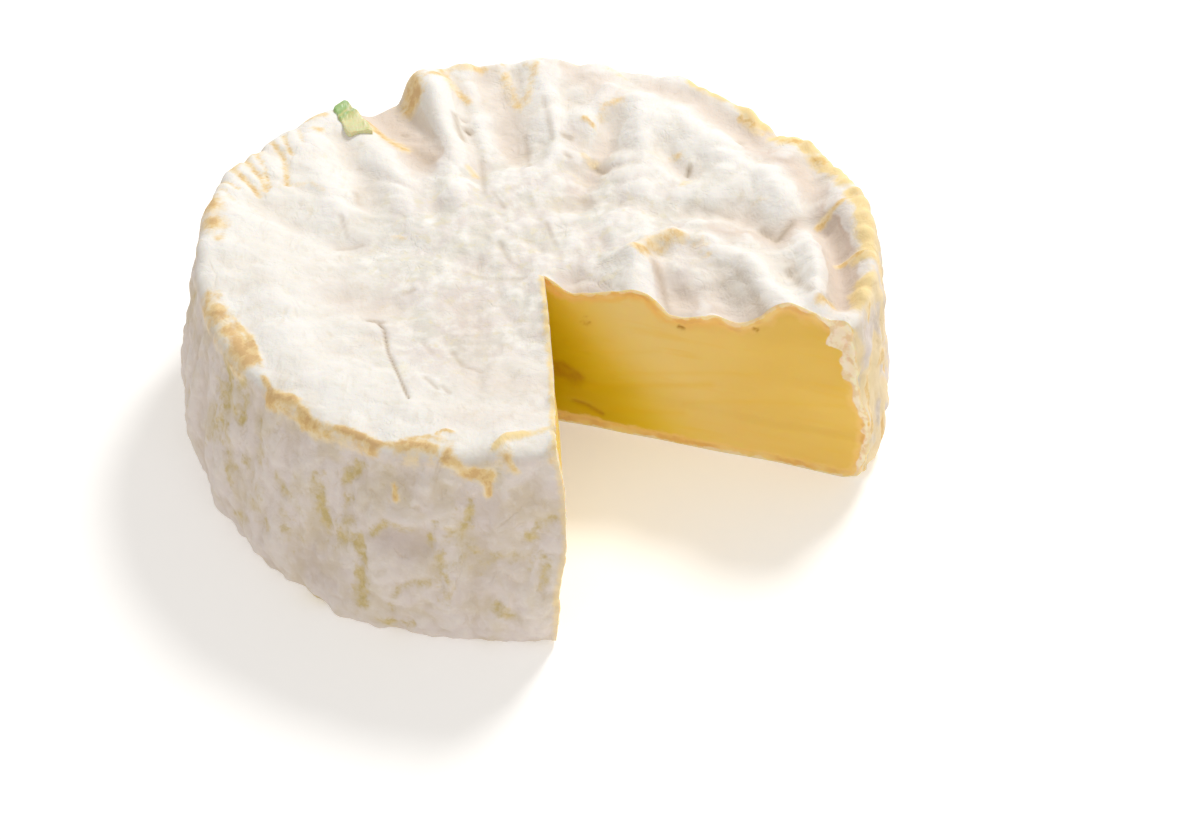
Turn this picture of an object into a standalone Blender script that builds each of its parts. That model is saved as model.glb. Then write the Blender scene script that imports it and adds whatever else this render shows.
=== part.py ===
"""A camembert: a low round cheese with a bloomy rind and one wedge cut out.

The wheel is one turned solid whose top, rim and wall are then moved by the relief of the rind.
A wedge is cut from it by a knife that bends a little in the soft paste.
Sizes are in millimetres, and MM turns them into Blender's metres.
The wheel's axis is Z, it rests on Z = 0, and the left cut runs from the middle towards -Y.
"""

import math

import bmesh
import bpy
from mathutils import Vector, noise

MM = 0.001

# Wheel
WALL_RADIUS = 54.3
RIM_RADIUS = 50.6
FOOT_RADIUS = 53.2
RIM_HEIGHT = 29.0
RIM_ROUND = 2.4
CENTRE_HEIGHT = 27.3
BULGE_HEIGHT = 8.0
TURN_STEPS = 132
RING_PITCH = 2.8

# Rim: azimuth in degrees, half width in degrees, height in millimetres
RIM_SWELLS = (
    (-88.0, 16.0, 2.3),
    (-5.0, 22.0, 3.3),
    (172.0, 22.0, 2.5),
    (106.0, 12.0, 1.2),
    (84.0, 9.0, 0.9),
    (58.0, 6.0, 0.8),
    (38.0, 6.0, -1.6),
)

# Wall: azimuth in degrees, half width in degrees, millimetres out at mid height and at the foot
WALL_SWELLS = (
    (-118.0, 42.0, 0.5, 2.4),
    (0.0, 35.0, -0.5, 0.0),
)

# Folds of the top: points, half width and height of a soft ridge, or of a valley where it is negative
TOP_FOLDS = (
    (((-17.6, 44.0), (-15.8, 38.0), (-14.0, 28.0), (-12.5, 12.0)), 2.8, 1.6),
    (((-13.0, 42.0), (-11.0, 34.0), (-9.5, 24.0), (-8.5, 12.0)), 1.8, -0.8),
    (((-5.5, 44.0), (-4.6, 36.0), (-3.0, 26.0)), 3.4, -1.5),
    (((2.0, 46.0), (2.6, 36.0), (4.0, 24.0)), 2.6, 1.0),
    (((13.0, 40.0), (8.5, 32.0)), 1.8, 1.0),
    (((12.5, 32.0), (9.5, 22.0), (6.0, 11.5)), 3.0, -1.7),
    (((17.5, 37.0), (17.5, 28.0), (16.0, 14.0)), 3.0, 1.5),
    (((25.0, 39.0), (32.0, 31.0), (37.0, 23.0)), 3.0, -1.4),
    (((23.0, 31.0), (27.5, 25.0), (30.5, 17.0)), 3.8, 1.4),
    (((20.0, 24.5), (24.0, 17.0)), 1.8, -1.0),
    (((44.0, 18.0), (43.0, 10.0), (41.0, 3.0)), 2.5, -1.7),
    (((35.5, 15.0), (38.0, 8.0)), 2.6, 1.0),
    (((36.5, 0.5), (32.0, 6.5), (23.0, 8.0)), 2.6, -1.6),
    (((14.0, -4.5), (17.0, -1.0), (20.5, 0.8)), 1.8, 1.3),
    (((20.5, 0.8), (25.0, -0.5), (28.5, -4.0)), 2.2, 1.1),
    (((18.5, -3.5), (19.0, -8.0)), 1.8, -1.0),
    (((43.5, 0.0), (44.0, -8.0), (43.0, -18.0)), 2.3, -2.8),
    (((30.5, -7.0), (33.0, -14.0), (35.5, -23.0)), 2.4, 2.0),
    (((40.0, -6.0), (40.4, -12.0), (39.5, -19.0)), 2.2, 1.9),
    (((20.0, -12.0), (21.5, -22.0)), 3.6, -3.0),
    (((26.0, -12.0), (29.0, -20.0)), 2.6, -1.4),
    (((5.0, -8.0), (6.0, -14.0)), 3.0, -1.9),
    (((13.0, -5.0), (15.5, -14.5)), 2.8, 1.7),
    (((-42.0, 9.0), (-30.0, 1.5), (-18.0, 0.0), (-4.0, -6.5)), 2.4, -0.6),
    (((-37.0, -6.0), (-36.0, -18.0), (-31.0, -30.0)), 4.5, 0.9),
    (((-28.0, -12.0), (-22.0, -14.0)), 4.2, -0.9),
    (((-10.0, -13.0), (-8.5, -25.0)), 4.6, -0.7),
    (((-37.0, 25.0), (-33.0, 17.0), (-30.0, 9.0)), 3.0, 1.1),
    (((-31.0, 29.0), (-27.5, 20.0), (-26.0, 12.0)), 2.4, -1.0),
    (((-24.0, 24.0), (-21.0, 16.0), (-18.5, 7.0)), 2.8, 1.0),
)

# Gully at the back left: it drops in at the rim and dies out towards the middle
GULLY_MOUTH = Vector((-27.5, 47.5))
GULLY_END = Vector((-14.0, 21.0))
GULLY_DEPTH = 4.3
GULLY_FLOOR = 2.6
GULLY_BANKS = (4.2, 1.9)

# Rind relief
LUMP_SIZE = 12.0
LUMP_HEIGHT = 1.1
WALL_WAVE_SIZE = 13.0
WALL_WAVE_DEPTH = 1.1
FOOT_RAGGED = 0.5

# Cut
APEX = Vector((0.8, -8.0))
LEFT_CUT_AZIMUTH = -88.6
RIGHT_CUT_AZIMUTH = -20.0
CUT_REACH = 80.0
CUT_PITCH = 2.6
CUT_TUCK = 1.7
PASTE_LEDGE_HEIGHT = 8.5
PASTE_LEDGE = 0.35

# Scrap of green stalk, caught at the mouth of the gully
SCRAP_START = Vector((-31.9, 38.2))
SCRAP_END = Vector((-28.1, 28.8))
SCRAP_WIDTH = 3.3
SCRAP_GROUND_RADIUS = 48.0
SCRAP_THICKNESS = 1.1
SCRAP_CUTS = 4


def smooth_step(low, high, value):
    """0 below low, 1 above high, and a smooth rise between them."""
    share = min(1.0, max(0.0, (value - low) / (high - low)))
    return share * share * (3 - 2 * share)


def bell(distance, half_width):
    return math.exp(-((distance / half_width) ** 2))


def turn_between(azimuth, other):
    """The angle from one azimuth to another, within half a turn."""
    return (azimuth - other + 180.0) % 360.0 - 180.0


def segment_distance(point, start, end):
    """Distance from a point to a straight segment in plan."""
    along = end - start
    share = min(1.0, max(0.0, (point - start).dot(along) / along.length_squared))
    return (point - start - along * share).length


def line_distance(point, points):
    """Distance from a point to a line of straight stretches in plan."""
    return min(segment_distance(point, Vector(a), Vector(b)) for a, b in zip(points, points[1:]))


def billow(point, size):
    """Rounded lobes with creases between them, from about 0 to 1."""
    spot = point / size
    return abs(noise.noise(spot)) * 1.6 + abs(noise.noise(spot * 2.1)) * 0.7


def gully(point):
    """Depth of the gully at a point in plan: a gentle left bank and a steep right one."""
    along = GULLY_END - GULLY_MOUTH
    share = (point - GULLY_MOUTH).dot(along) / along.length_squared
    side = (point - GULLY_MOUTH).dot(Vector((-along.y, along.x))) / along.length
    bank = GULLY_BANKS[0] if side < 0 else GULLY_BANKS[1]
    fade = 1 - smooth_step(0.1, 1.15, share)
    beyond = max(0.0, abs(side) - GULLY_FLOOR * fade)
    return GULLY_DEPTH * bell(beyond, bank) * fade


def rim_swell(azimuth):
    return sum(
        height * bell(turn_between(azimuth, middle), width)
        for middle, width, height in RIM_SWELLS
    )


def top_relief(x, y):
    """How far the top stands over the plain turned wheel, at a point in plan."""
    point = Vector((x, y))
    radius = point.length
    azimuth = math.degrees(math.atan2(y, x))
    lift = rim_swell(azimuth) * smooth_step(36.0, 48.5, radius)
    for points, width, height in TOP_FOLDS:
        lift += height * bell(line_distance(point, points), width)
    rough = 0.35 + 0.65 * smooth_step(-22.0, 8.0, x + 0.35 * y)
    lobes = billow(Vector((x, y, 4.0)), LUMP_SIZE) - 0.45
    lift += LUMP_HEIGHT * rough * lobes
    return lift - gully(point)


def wall_relief(azimuth, z):
    """How far the wall stands out from the plain turned wheel."""
    turn = math.radians(azimuth)
    spot = Vector((math.cos(turn) * WALL_RADIUS, math.sin(turn) * WALL_RADIUS, z * 0.45))
    waves = WALL_WAVE_DEPTH * (billow(spot + Vector((7.0, 3.0, 0.0)), WALL_WAVE_SIZE) - 0.45)
    foot = FOOT_RAGGED * noise.noise(spot / 3.5) * (1 - smooth_step(0.0, 5.0, z))
    low = 1 - smooth_step(0.0, 20.0, z)
    swell = 0.0
    for middle, width, at_middle, at_foot in WALL_SWELLS:
        out = at_middle * (1 - smooth_step(18.0, 28.0, z)) * (1 - low) + at_foot * low
        swell += out * bell(turn_between(azimuth, middle), width)
    return waves + foot + swell


def profile_points():
    """Half section of the plain wheel as (radius, height), from the middle of the top round to the middle of the base."""
    corner = Vector((RIM_RADIUS - RIM_ROUND, RIM_HEIGHT - RIM_ROUND))
    points = []
    for ring in range(math.ceil(corner.x / RING_PITCH)):
        radius = ring * RING_PITCH
        dish = smooth_step(20.0, 46.0, radius)
        points.append((radius, CENTRE_HEIGHT + (RIM_HEIGHT - CENTRE_HEIGHT) * dish))
    for degrees in (75, 48, 20):
        turn = math.radians(degrees)
        points.append((corner.x + RIM_ROUND * math.cos(turn), corner.y + RIM_ROUND * math.sin(turn)))
    wall_steps = 9
    for step in range(1, wall_steps):
        z = corner.y * (1 - step / wall_steps)
        over = max(0.0, z - BULGE_HEIGHT) / (corner.y - BULGE_HEIGHT)
        under = max(0.0, BULGE_HEIGHT - z) / BULGE_HEIGHT
        lean_in = (WALL_RADIUS - RIM_RADIUS) * over**1.6
        points.append((WALL_RADIUS - lean_in - (WALL_RADIUS - FOOT_RADIUS) * under**3, z))
    points += [(FOOT_RADIUS - 0.2, 0.8), (FOOT_RADIUS - 1.4, 0.0), (30.0, 0.0), (0.0, 0.0)]
    return points


def remove_everything():
    for obj in list(bpy.data.objects):
        bpy.data.objects.remove(obj, do_unlink=True)


def new_collection(name):
    collection = bpy.data.collections.new(name)
    bpy.context.scene.collection.children.link(collection)
    return collection


def add_object(name, data, collection):
    obj = bpy.data.objects.new(name, data)
    collection.objects.link(obj)
    return obj


def evaluated_mesh(obj):
    """A free copy of the object's mesh, with its modifiers in it."""
    graph = bpy.context.evaluated_depsgraph_get()
    return bpy.data.meshes.new_from_object(obj.evaluated_get(graph))


def as_mesh_object(name, source, collection):
    """Replaces a curve or an object with modifiers by a plain welded mesh object."""
    mesh = evaluated_mesh(source)
    made = add_object(name, mesh, collection)
    made.matrix_world = source.matrix_world
    bpy.data.objects.remove(source, do_unlink=True)
    cage = bmesh.new()
    cage.from_mesh(mesh)
    bmesh.ops.remove_doubles(cage, verts=cage.verts, dist=0.01 * MM)
    bmesh.ops.recalc_face_normals(cage, faces=cage.faces)
    cage.to_mesh(mesh)
    cage.free()
    return made


def material(name, colour, roughness):
    made = bpy.data.materials.new(name)
    made.use_nodes = True
    shader = made.node_tree.nodes["Principled BSDF"]
    shader.inputs["Base Color"].default_value = (*colour, 1.0)
    shader.inputs["Roughness"].default_value = roughness
    shader.inputs["Metallic"].default_value = 0.0
    return made


def turned_wheel(collection):
    """The plain wheel: its half section turned once round the axis."""
    points = profile_points()
    mesh = bpy.data.meshes.new("half_section")
    edges = [(i, i + 1) for i in range(len(points) - 1)]
    mesh.from_pydata([(r * MM, 0.0, z * MM) for r, z in points], edges, [])
    section = add_object("half_section", mesh, collection)
    screw = section.modifiers.new("turn", "SCREW")
    screw.axis = "Z"
    screw.angle = math.tau
    screw.steps = TURN_STEPS
    screw.render_steps = TURN_STEPS
    screw.use_merge_vertices = True
    screw.merge_threshold = 0.00001
    screw.use_normal_calculate = True
    bpy.context.view_layer.update()
    return as_mesh_object("camembert", section, collection)


def raise_relief(wheel):
    """Moves the points of the plain wheel by the relief of top, rim and wall. The base stays flat."""
    for vertex in wheel.data.vertices:
        x, y, z = vertex.co / MM
        radius = math.hypot(x, y)
        if radius < 0.01 and z < 1.0:
            continue
        azimuth = math.degrees(math.atan2(y, x))
        if z > 0.0:
            inner = min(1.0, (RIM_RADIUS - 0.5) / max(radius, 0.01))
            lift = top_relief(x * inner, y * inner) * smooth_step(8.0, 27.0, z)
            z += lift
        if radius > RIM_RADIUS - 6.0:
            out = wall_relief(azimuth, z) * smooth_step(RIM_RADIUS - 6.0, RIM_RADIUS + 1.0, radius)
            x *= (radius + out) / radius
            y *= (radius + out) / radius
        vertex.co = Vector((x, y, z)) * MM


def knife_bend(along, z):
    """How far a cut face leans into the gap: a bulge at mid height, a tuck at the foot and a low ledge."""
    share = min(1.0, max(0.0, along / WALL_RADIUS))
    bulge = 0.9 * bell(z - 21.0, 9.0)
    tuck = CUT_TUCK * bell(z + 2.0, 8.0)
    ledge = PASTE_LEDGE * (1 - smooth_step(PASTE_LEDGE_HEIGHT - 1, PASTE_LEDGE_HEIGHT + 1, z))
    ripple = 0.5 * noise.noise(Vector((along / 14.0, z / 7.0, 2.0)))
    return (bulge - tuck) * (0.35 + 0.65 * share) + ledge + ripple


def knife(collection):
    """The wedge that is taken out, as a closed cutter that reaches past the rim, the top and the base."""
    outline = bpy.data.curves.new("wedge_outline", "CURVE")
    outline.dimensions = "2D"
    outline.fill_mode = "BOTH"
    height = RIM_HEIGHT + 16.0
    outline.extrude = height / 2 * MM
    spline = outline.splines.new("POLY")
    steps = int(CUT_REACH // CUT_PITCH)
    edge = [(LEFT_CUT_AZIMUTH, step) for step in range(steps, 0, -1)]
    edge += [(RIGHT_CUT_AZIMUTH, step) for step in range(steps + 1)]
    spline.points.add(len(edge) - 1)
    for point, (azimuth, step) in zip(spline.points, edge):
        turn = math.radians(azimuth)
        spot = APEX + Vector((math.cos(turn), math.sin(turn))) * (step * CUT_PITCH)
        point.co = (spot.x * MM, spot.y * MM, 0.0, 1.0)
    spline.use_cyclic_u = True
    flat = add_object("wedge_outline", outline, collection)
    flat.location.z = (height / 2 - 5.0) * MM
    bpy.context.view_layer.update()
    cutter = as_mesh_object("knife", flat, collection)
    cutter.data.transform(cutter.matrix_world)
    cutter.matrix_world.identity()
    rows = int(height // CUT_PITCH)
    cage = bmesh.new()
    cage.from_mesh(cutter.data)
    upright = [e for e in cage.edges if abs(e.verts[0].co.z - e.verts[1].co.z) > 5 * MM]
    bmesh.ops.subdivide_edges(cage, edges=upright, cuts=rows, use_grid_fill=True)
    for vertex in cage.verts:
        bend_into_face(vertex)
    cage.to_mesh(cutter.data)
    cage.free()
    cutter.hide_render = True
    cutter.display_type = "WIRE"
    return cutter


def bend_into_face(vertex):
    """Pulls a point of the cutter in where the cheese bulges, so that the cut face follows."""
    spot = Vector((vertex.co.x, vertex.co.y)) / MM - APEX
    along = spot.length
    if along < 0.5 * CUT_PITCH:
        return
    azimuth = math.degrees(math.atan2(spot.y, spot.x))
    near_left = abs(turn_between(azimuth, LEFT_CUT_AZIMUTH)) < 1.0
    face = LEFT_CUT_AZIMUTH + 90.0 if near_left else RIGHT_CUT_AZIMUTH - 90.0
    turn = math.radians(face)
    lean = knife_bend(along, vertex.co.z / MM) * smooth_step(0.0, 8.0, along)
    vertex.co.x += math.cos(turn) * lean * MM
    vertex.co.y += math.sin(turn) * lean * MM


def height_on(wheel, spot):
    """Height of the wheel's top under a point in plan, or just inside the rim if it lies beyond."""
    inner = spot * min(1.0, SCRAP_GROUND_RADIUS / spot.length)
    hit, place, _, _ = wheel.ray_cast(Vector((inner.x, inner.y, 60.0)) * MM, Vector((0.0, 0.0, -1.0)))
    return place.z / MM if hit else 0.0


def green_scrap(wheel, collection):
    """A short flattened piece of stalk that lies over the rim and follows the rind under it."""
    bpy.ops.mesh.primitive_cube_add(size=1.0)
    scrap = bpy.context.active_object
    scrap.name = "green_scrap"
    for holder in list(scrap.users_collection):
        holder.objects.unlink(scrap)
    collection.objects.link(scrap)
    cage = bmesh.new()
    cage.from_mesh(scrap.data)
    lengthwise = [e for e in cage.edges if abs(e.verts[0].co.x - e.verts[1].co.x) > 0.5]
    bmesh.ops.subdivide_edges(cage, edges=lengthwise, cuts=SCRAP_CUTS, use_grid_fill=True)
    along = SCRAP_END - SCRAP_START
    across = Vector((-along.y, along.x)).normalized() * SCRAP_WIDTH
    for vertex in cage.verts:
        middle = SCRAP_START + along * (vertex.co.x + 0.5)
        slim = 1.0 - 0.2 * abs(2 * vertex.co.x) ** 3
        spot = middle + across * vertex.co.y * slim
        above = SCRAP_THICKNESS if vertex.co.z > 0.0 else -SCRAP_THICKNESS
        vertex.co = Vector((spot.x, spot.y, height_on(wheel, middle) + above)) * MM
    bmesh.ops.recalc_face_normals(cage, faces=cage.faces)
    cage.to_mesh(scrap.data)
    cage.free()
    scrap.hide_render = True
    scrap.display_type = "WIRE"
    return scrap


def join_and_cut(wheel, scrap, cutter):
    union = wheel.modifiers.new("scrap", "BOOLEAN")
    union.operation = "UNION"
    union.solver = "EXACT"
    union.object = scrap
    cut = wheel.modifiers.new("wedge", "BOOLEAN")
    cut.operation = "DIFFERENCE"
    cut.solver = "EXACT"
    cut.object = cutter


def centre_on_axis(wheel):
    """Moves the finished mesh so that the middle of its outline lies on the Z axis."""
    xs = [v.co.x for v in wheel.data.vertices]
    ys = [v.co.y for v in wheel.data.vertices]
    middle = Vector(((min(xs) + max(xs)) / 2, (min(ys) + max(ys)) / 2, 0.0))
    for vertex in wheel.data.vertices:
        vertex.co -= middle


def main():
    remove_everything()
    cheese = new_collection("camembert")
    helpers = new_collection("helpers")
    wheel = turned_wheel(cheese)
    raise_relief(wheel)
    cutter = knife(helpers)
    bpy.context.view_layer.update()
    scrap = green_scrap(wheel, helpers)
    join_and_cut(wheel, scrap, cutter)
    bpy.context.view_layer.update()
    finished = evaluated_mesh(wheel)
    wheel.modifiers.clear()
    wheel.data = finished
    centre_on_axis(wheel)
    wheel.data.materials.clear()
    wheel.data.materials.append(material("rind", (0.86, 0.82, 0.74), 0.8))
    wheel.data.shade_smooth()
    wheel.data.set_sharp_from_angle(angle=math.radians(40))


main()
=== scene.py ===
"""A camembert with a notch cut out of it: the looks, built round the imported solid.

The cheese is one closed body. Its columns stand on rays that leave the apex of the notch, so that
both cut faces lie on a column, and its rings follow the rim. The relief and the marks of the rind
are functions of a point's place, in millimetres, and MM turns them into Blender's metres.
"""

import math

import bpy
import numpy as np
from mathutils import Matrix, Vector, noise


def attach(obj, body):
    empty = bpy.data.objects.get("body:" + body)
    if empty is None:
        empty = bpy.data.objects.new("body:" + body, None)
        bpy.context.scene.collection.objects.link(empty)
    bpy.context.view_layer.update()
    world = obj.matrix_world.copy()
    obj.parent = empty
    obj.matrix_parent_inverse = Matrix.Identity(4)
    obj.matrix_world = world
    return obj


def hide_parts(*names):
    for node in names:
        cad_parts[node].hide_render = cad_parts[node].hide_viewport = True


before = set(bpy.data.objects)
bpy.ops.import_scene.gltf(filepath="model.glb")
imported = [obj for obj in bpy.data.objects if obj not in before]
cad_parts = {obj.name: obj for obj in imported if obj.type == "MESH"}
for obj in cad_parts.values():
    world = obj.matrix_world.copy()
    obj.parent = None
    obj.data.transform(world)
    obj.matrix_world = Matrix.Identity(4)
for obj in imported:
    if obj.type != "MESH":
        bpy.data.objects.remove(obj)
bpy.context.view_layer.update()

MM = 0.001

# Camera, in millimetres
CAMERA_PLACE = (0.0, -228.46, 194.44)
CAMERA_TARGET = (9.0, -8.7, 0.0)
FOCAL_LENGTH = 56.43

# Place of the wheel's axis in the frame, whose origin is the middle of the solid
AXIS_SHIFT = (-0.09, 0.08)

# Wheel
WALL_RADIUS = 54.3
RIM_RADIUS = 50.6
FOOT_RADIUS = 53.2
RIM_HEIGHT = 29.0
RIM_ROUND = 2.4
CENTRE_HEIGHT = 27.3
BULGE_HEIGHT = 8.0

# Fineness
COLUMNS = 500
TOP_RINGS = 98
CORNER_RINGS = 9
WALL_RINGS = 54

# Rim: azimuth in degrees, half width in degrees, height in millimetres
RIM_SWELLS = (
    (-88, 16, 2.3),
    (-5, 22, 3.3),
    (172, 22, 2.5),
    (106, 12, 1.2),
    (84, 9, 0.9),
    (58, 6, 0.8),
    (38, 6, -1.6),
)

# Wall: azimuth in degrees, half width in degrees, millimetres out at mid height and at the foot
WALL_SWELLS = (
    (-118, 42, 0.5, 2.4),
    (0, 35, -0.5, 0),
)

# Folds of the top: points, half width and height of a soft ridge, or of a valley where it is negative
TOP_FOLDS = (
    (((-17.6, 44), (-15.8, 38), (-14, 28), (-12.5, 12)), 2.8, 1.6),
    (((-13, 42), (-11, 34), (-9.5, 24), (-8.5, 12)), 1.8, -0.8),
    (((-5.5, 44), (-4.6, 36), (-3, 26)), 3.4, -1.5),
    (((2, 46), (2.6, 36), (4, 24)), 2.6, 1),
    (((13, 40), (8.5, 32)), 1.8, 1),
    (((12.5, 32), (9.5, 22), (6, 11.5)), 3, -1.7),
    (((17.5, 37), (17.5, 28), (16, 14)), 3, 1.5),
    (((25, 39), (32, 31), (37, 23)), 3, -1.4),
    (((23, 31), (27.5, 25), (30.5, 17)), 3.8, 1.4),
    (((20, 24.5), (24, 17)), 1.8, -1),
    (((44, 18), (43, 10), (41, 3)), 2.5, -1.7),
    (((35.5, 15), (38, 8)), 2.6, 1),
    (((36.5, 0.5), (32, 6.5), (23, 8)), 2.6, -1.6),
    (((14, -4.5), (17, -1), (20.5, 0.8)), 1.8, 1.3),
    (((20.5, 0.8), (25, -0.5), (28.5, -4)), 2.2, 1.1),
    (((18.5, -3.5), (19, -8)), 1.8, -1),
    (((43.5, 0), (44, -8), (43, -18)), 2.3, -2.8),
    (((30.5, -7), (33, -14), (35.5, -23)), 2.4, 2),
    (((40, -6), (40.4, -12), (39.5, -19)), 2.2, 1.9),
    (((20, -12), (21.5, -22)), 3.6, -3),
    (((26, -12), (29, -20)), 2.6, -1.4),
    (((5, -8), (6, -14)), 3, -1.9),
    (((13, -5), (15.5, -14.5)), 2.8, 1.7),
    (((-42, 9), (-30, 1.5), (-18, 0), (-4, -6.5)), 2.4, -0.6),
    (((-37, -6), (-36, -18), (-31, -30)), 4.5, 0.9),
    (((-28, -12), (-22, -14)), 4.2, -0.9),
    (((-10, -13), (-8.5, -25)), 4.6, -0.7),
    (((-37, 25), (-33, 17), (-30, 9)), 3, 1.1),
    (((-31, 29), (-27.5, 20), (-26, 12)), 2.4, -1),
    (((-24, 24), (-21, 16), (-18.5, 7)), 2.8, 1),
)

# Gully at the back left
GULLY_MOUTH = (-27.5, 47.5)
GULLY_END = (-14.0, 21.0)
GULLY_DEPTH = 4.3
GULLY_FLOOR = 2.6
GULLY_BANKS = (4.2, 1.9)

# Heights on the plain wheel between which each layer of the rind fades in or out
TOP_FOLDS_FADE = (8.0, 27.0)
TOP_FINE_FADE = (22.0, 26.5)
TOP_MARKS_FADE = (25.2, 27.4)
WALL_FINE_FADE = (25.0, 28.0)
WALL_COLOUR_FADE = (27.4, 28.8)

# Rind relief, smooth at the left of the top and folded at its right
FOLDED_SIDE = (-22.0, 8.0)
LUMP_SIZE = 12.0
LUMP_HEIGHT = 1.1
WALL_WAVE_SIZE = 13.0
WALL_WAVE_DEPTH = 1.1
FOOT_RAGGED = 0.5

# Cut: place of its apex, then each face's azimuth and the turn from it into the gap
APEX = (0.8, -8.0)
LEFT_CUT = (-88.6, 90.0)
RIGHT_CUT = (-20.0, -90.0)
CUT_BULGE = 0.9
CUT_BULGE_HEIGHT = 21.0
CUT_TUCK = 1.7
PASTE_LEDGE_HEIGHT = 8.5
PASTE_LEDGE = 0.35

# Ochre on the rim and the top, in plan: points, half width, strength
OCHRE_MARKS = (
    (((-50, 7.5), (-47.8, 2.5)), 2.1, 0.9),
    (((-48.4, 1.5), (-46.6, -1.5)), 0.8, 0.6),
    (((-47.5, -12.6), (-45.6, -13.6)), 0.7, 0.8),
    (((-47.2, -14), (-44.6, -19), (-42, -23.5), (-40, -28)), 1.8, 0.8),
    (((-43.4, -18), (-40.4, -22.5), (-38.2, -29)), 0.5, 0.9),
    (((-38, -31), (-36.5, -33.8)), 0.5, 0.8),
    (((-36.8, -34), (-34.8, -35.2), (-33.2, -36.4)), 0.8, 1),
    (((-32.6, -37.4), (-30.8, -39.8), (-28, -41.2)), 0.6, 0.9),
    (((-27.5, -41.3), (-25, -42.8), (-22, -44.6), (-19, -45.3)), 0.55, 1),
    (((-18.5, -45.4), (-16, -46), (-14, -47.2)), 0.8, 1),
    (((-17.5, -44.6), (-15, -44.8), (-12.8, -45.6)), 0.6, 0.6),
    (((-13.8, -44.4), (-12.8, -43.7), (-11.6, -44.3)), 0.4, 0.9),
    (((-37, 33.3), (-34, 34.6)), 0.8, 0.8),
    (((-39.5, 14.8), (-34.5, 15), (-32.5, 13)), 0.6, 0.35),
    (((-20.5, 46.5), (-19.6, 40.5)), 2, 0.95),
    (((-18.6, 42.6), (-15.5, 44.4)), 0.9, 0.8),
    (((-14.8, 46.6), (-8.2, 47.4)), 1, 0.7),
    (((-16, 47.8), (-15, 45.5)), 0.7, 0.8),
    (((-14.6, 45), (-12.8, 41.6), (-10.8, 38.6)), 0.8, 0.75),
    (((-4.6, 46), (-3.6, 41.5), (-2.4, 38)), 1.1, 0.65),
    (((0.4, 47), (-0.5, 42), (-1.2, 38.5)), 1, 0.6),
    (((-1.2, 48), (0.2, 46)), 0.5, 0.7),
    (((2.8, 50.8), (5, 51), (7.8, 50.6)), 0.7, 0.9),
    (((12.5, 46.5), (14, 45.8), (15.5, 44.5)), 0.8, 0.6),
    (((8.2, 31.8), (9.8, 31)), 0.6, 0.6),
    (((10.8, 33), (12, 36), (14.5, 37.2)), 0.8, 0.55),
    (((-27.9, 36.2), (-24.8, 31.6), (-20.6, 27)), 1.3, 0.75),
    (((-35.4, 30.6), (-34.2, 30.2)), 0.8, 0.9),
    (((-10.3, 21), (-9.5, 20)), 0.8, 0.6),
    (((8, 24.8), (9.6, 23.4)), 0.9, 0.55),
    (((21.4, 22.6), (23.6, 22.4), (24.6, 20.6)), 0.8, 0.5),
    (((23.9, 15.8), (22.8, 14.6)), 0.8, 0.5),
    (((-21.5, 3.2), (-19.8, 2.6)), 0.6, 0.5),
    (((15, -4.4), (17.4, -1.9), (19.6, -0.4), (21.3, -0.2)), 1.4, 0.7),
    (((24, -1), (25.4, -3.7)), 1.3, 0.4),
    (((34, 9), (35.2, 8.6)), 0.7, 0.4),
    (((33, 38.5), (34, 36)), 0.7, 0.8),
    (((34, 33), (35.5, 31.3), (36.8, 29.6)), 0.9, 0.9),
    (((39.6, 24.8), (41.5, 23.8)), 1.1, 0.9),
    (((43.8, 19.6), (45.3, 18.3)), 0.9, 0.8),
    (((42.5, 1.8), (46, 3.8), (49.5, 5.5)), 0.6, 0.9),
    (((44, -8.6), (48.5, -9)), 0.6, 0.9),
    (((41.8, -18.6), (39.5, -20)), 0.8, 0.8),
)

# Radius of the thin broken line of ochre along the whole rim
OCHRE_LINE_RADIUS = 49.8

# Cream yellow crust on the rim, in plan, mostly along the right
CREAM_MARKS = (
    (((18, 46), (23, 44.5), (27, 42.5)), 0.7, 0.5),
    (((27, 42.2), (31, 39.5), (34.8, 35.8), (37.4, 31.4)), 1.5, 0.95),
    (((40, 27.6), (43.3, 23.4), (46.2, 18.5), (48, 12), (48.6, 6.5)), 1.9, 1),
    (((49.2, 3.6), (49.2, -3), (48.6, -7.4)), 1.9, 1),
    (((47.7, -10.4), (47.2, -15)), 1.8, 1),
    (((46, -17), (45.6, -22)), 1.7, 0.9),
    (((-6, -48.3), (-4.3, -46.8), (-1.5, -45.8), (1.5, -45.4)), 0.8, 0.7),
    (((-49.6, 12), (-50, 8)), 1, 0.5),
    (((-46.4, 17.5), (-43.5, 23)), 0.9, 0.5),
)

# Ochre grooves of the puckered rim at the left back, in plan
RIB_MARKS = (
    (((-48.4, 15), (-47.2, 13.8), (-45.4, 11.8)), 0.45, 0.85),
    (((-46.6, 17.6), (-44.2, 14.2), (-42.2, 11.2)), 0.5, 0.95),
    (((-45.4, 20.6), (-42.9, 16.9), (-41.2, 12.6)), 0.5, 0.9),
    (((-44, 23), (-41.8, 17.7), (-40.9, 13.6)), 0.45, 0.8),
    (((-41.6, 26.6), (-39.1, 20.9), (-38.3, 15)), 0.5, 0.9),
    (((-39.8, 28.2), (-39, 25), (-38, 22.3)), 0.45, 0.85),
    (((-37.6, 30), (-36.6, 25.4)), 0.45, 0.7),
    (((-48, 11.6), (-45.6, 8.6)), 0.6, 0.55),
    (((-42.8, 27.2), (-44.8, 23.6), (-46.9, 19.4)), 0.9, 0.6),
)

# Creases across the crust of the rim: azimuth in degrees, half width in degrees, depth
CRUST_CREASES = (
    (36.6, 1.5, 0.9),
    (27, 0.8, 0.4),
    (6.2, 1, 0.9),
    (-9.8, 1.1, 1),
    (-18.8, 0.8, 0.5),
)

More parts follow.
